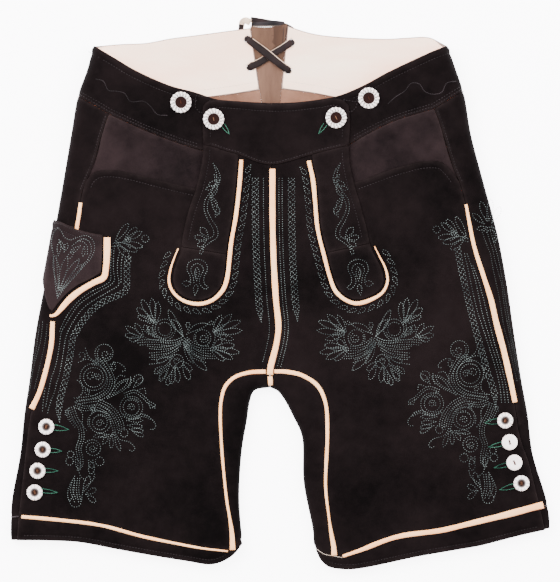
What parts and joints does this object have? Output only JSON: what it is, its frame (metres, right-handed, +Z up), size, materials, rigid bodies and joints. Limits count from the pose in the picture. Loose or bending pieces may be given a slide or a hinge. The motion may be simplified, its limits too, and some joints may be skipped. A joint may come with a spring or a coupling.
{
  "type": "leather shorts",
  "caption": "Short dark suede trousers with a drop-front flap, cream piping, buttoned leg slits, a side knife pocket and a laced back, lying flat.",
  "frame": {"origin": "centre of the garment's box, on the surface it lies on", "axes": "+X to the wearer's left, +Y to the waist, +Z up from the surface, out of the garment's front"},
  "size_m": [0.594, 0.6083, 0.0262],
  "materials": {
    "suede_dark": "dark brown-black suede",
    "suede_facing": "dark suede, a little lighter",
    "piping_cream": "smooth cream leather strip",
    "lining_cream": "smooth cream leather lining",
    "suede_brown": "brown flesh side",
    "lace_brown": "dark lace leather",
    "horn": "pale polished horn"
  },
  "bodies": {
    "root": {"front_leg_right": "suede_dark", "back_leg_right": "suede_dark", "hem_band_right": "suede_dark", "waistband_right": "suede_dark", "waistband_lining_right": "lining_cream", "pocket_facing_right": "suede_facing", "flap_strip_right": "suede_dark", "flap_tongue_right": "suede_dark", "piping_flap_right": "piping_cream", "front_leg_left": "suede_dark", "back_leg_left": "suede_dark", "hem_band_left": "suede_dark", "waistband_left": "suede_dark", "waistband_lining_left": "lining_cream", "pocket_facing_left": "suede_facing", "flap_strip_left": "suede_dark", "flap_tongue_left": "suede_dark", "piping_flap_left": "piping_cream", "flap_band": "suede_dark", "knife_pocket": "suede_facing", "back_gusset": "suede_brown", "back_lace": "lace_brown", "piping_centre_front": "piping_cream", "piping_crotch": "piping_cream", "piping_inseam_right": "piping_cream", "piping_inseam_left": "piping_cream", "piping_side_right_top": "piping_cream", "piping_side_right": "piping_cream", "piping_side_left": "piping_cream", "piping_hem_right": "piping_cream", "piping_hem_left": "piping_cream", "piping_knife_pocket": "piping_cream", "button_waist_right": "horn", "button_waist_left": "horn", "button_flap_right": "horn", "button_flap_left": "horn", "button_leg_right_1": "horn", "button_leg_right_2": "horn", "button_leg_right_3": "horn", "button_leg_right_4": "horn", "button_leg_left_1": "horn", "button_leg_left_2": "horn", "button_leg_left_3": "horn", "button_leg_left_4": "horn"}
  },
  "joints": []
}
